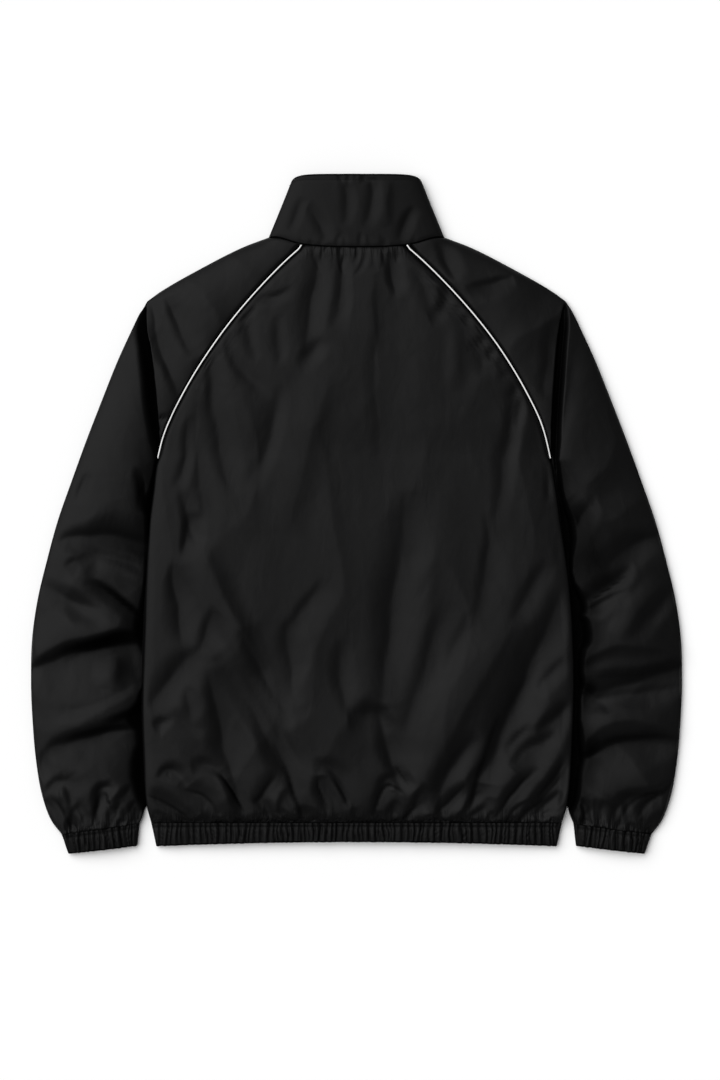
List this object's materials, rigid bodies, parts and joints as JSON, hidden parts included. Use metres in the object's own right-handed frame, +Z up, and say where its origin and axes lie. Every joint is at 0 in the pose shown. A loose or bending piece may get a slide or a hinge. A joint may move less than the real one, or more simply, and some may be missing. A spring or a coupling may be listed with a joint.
{
  "type": "windbreaker",
  "caption": "Lightweight raglan windbreaker laid flat on its front: stand collar, front zip, elastic hem and cuffs, contrast piping.",
  "frame": {"origin": "under the middle of the garment's box, on the surface it lies on", "axes": "+Z up, out of the garment's back; +Y from the hem to the collar; -X to the wearer's left"},
  "size_m": [0.78, 0.8138, 0.032],
  "materials": {
    "shell_nylon": "plain-weave nylon with a soft sheen",
    "casing_nylon": "doubled plain-weave nylon, gathered",
    "piping_white": "satin piping cord",
    "zip_tape": "woven zip tape",
    "zip_metal": "black enamel"
  },
  "bodies": {
    "garment": {"back": "shell_nylon", "front_left": "shell_nylon", "front_right": "shell_nylon", "sleeve_left": "shell_nylon", "sleeve_right": "shell_nylon", "collar": "casing_nylon", "hem_band": "casing_nylon", "cuff_left": "casing_nylon", "cuff_right": "casing_nylon", "piping_left": "piping_white", "piping_right": "piping_white", "zip_tape_left": "zip_tape", "zip_tape_right": "zip_tape", "zip_slider": "zip_metal"},
    "pull": {"zip_pull": "zip_metal"}
  },
  "joints": [
    {"name": "pull_swing", "type": "hinge", "parent": "garment", "child": "pull", "pos_m": [0, 0.378, 0.0023], "axis": [1, 0, 0], "range_deg": [0, 170]}
  ]
}
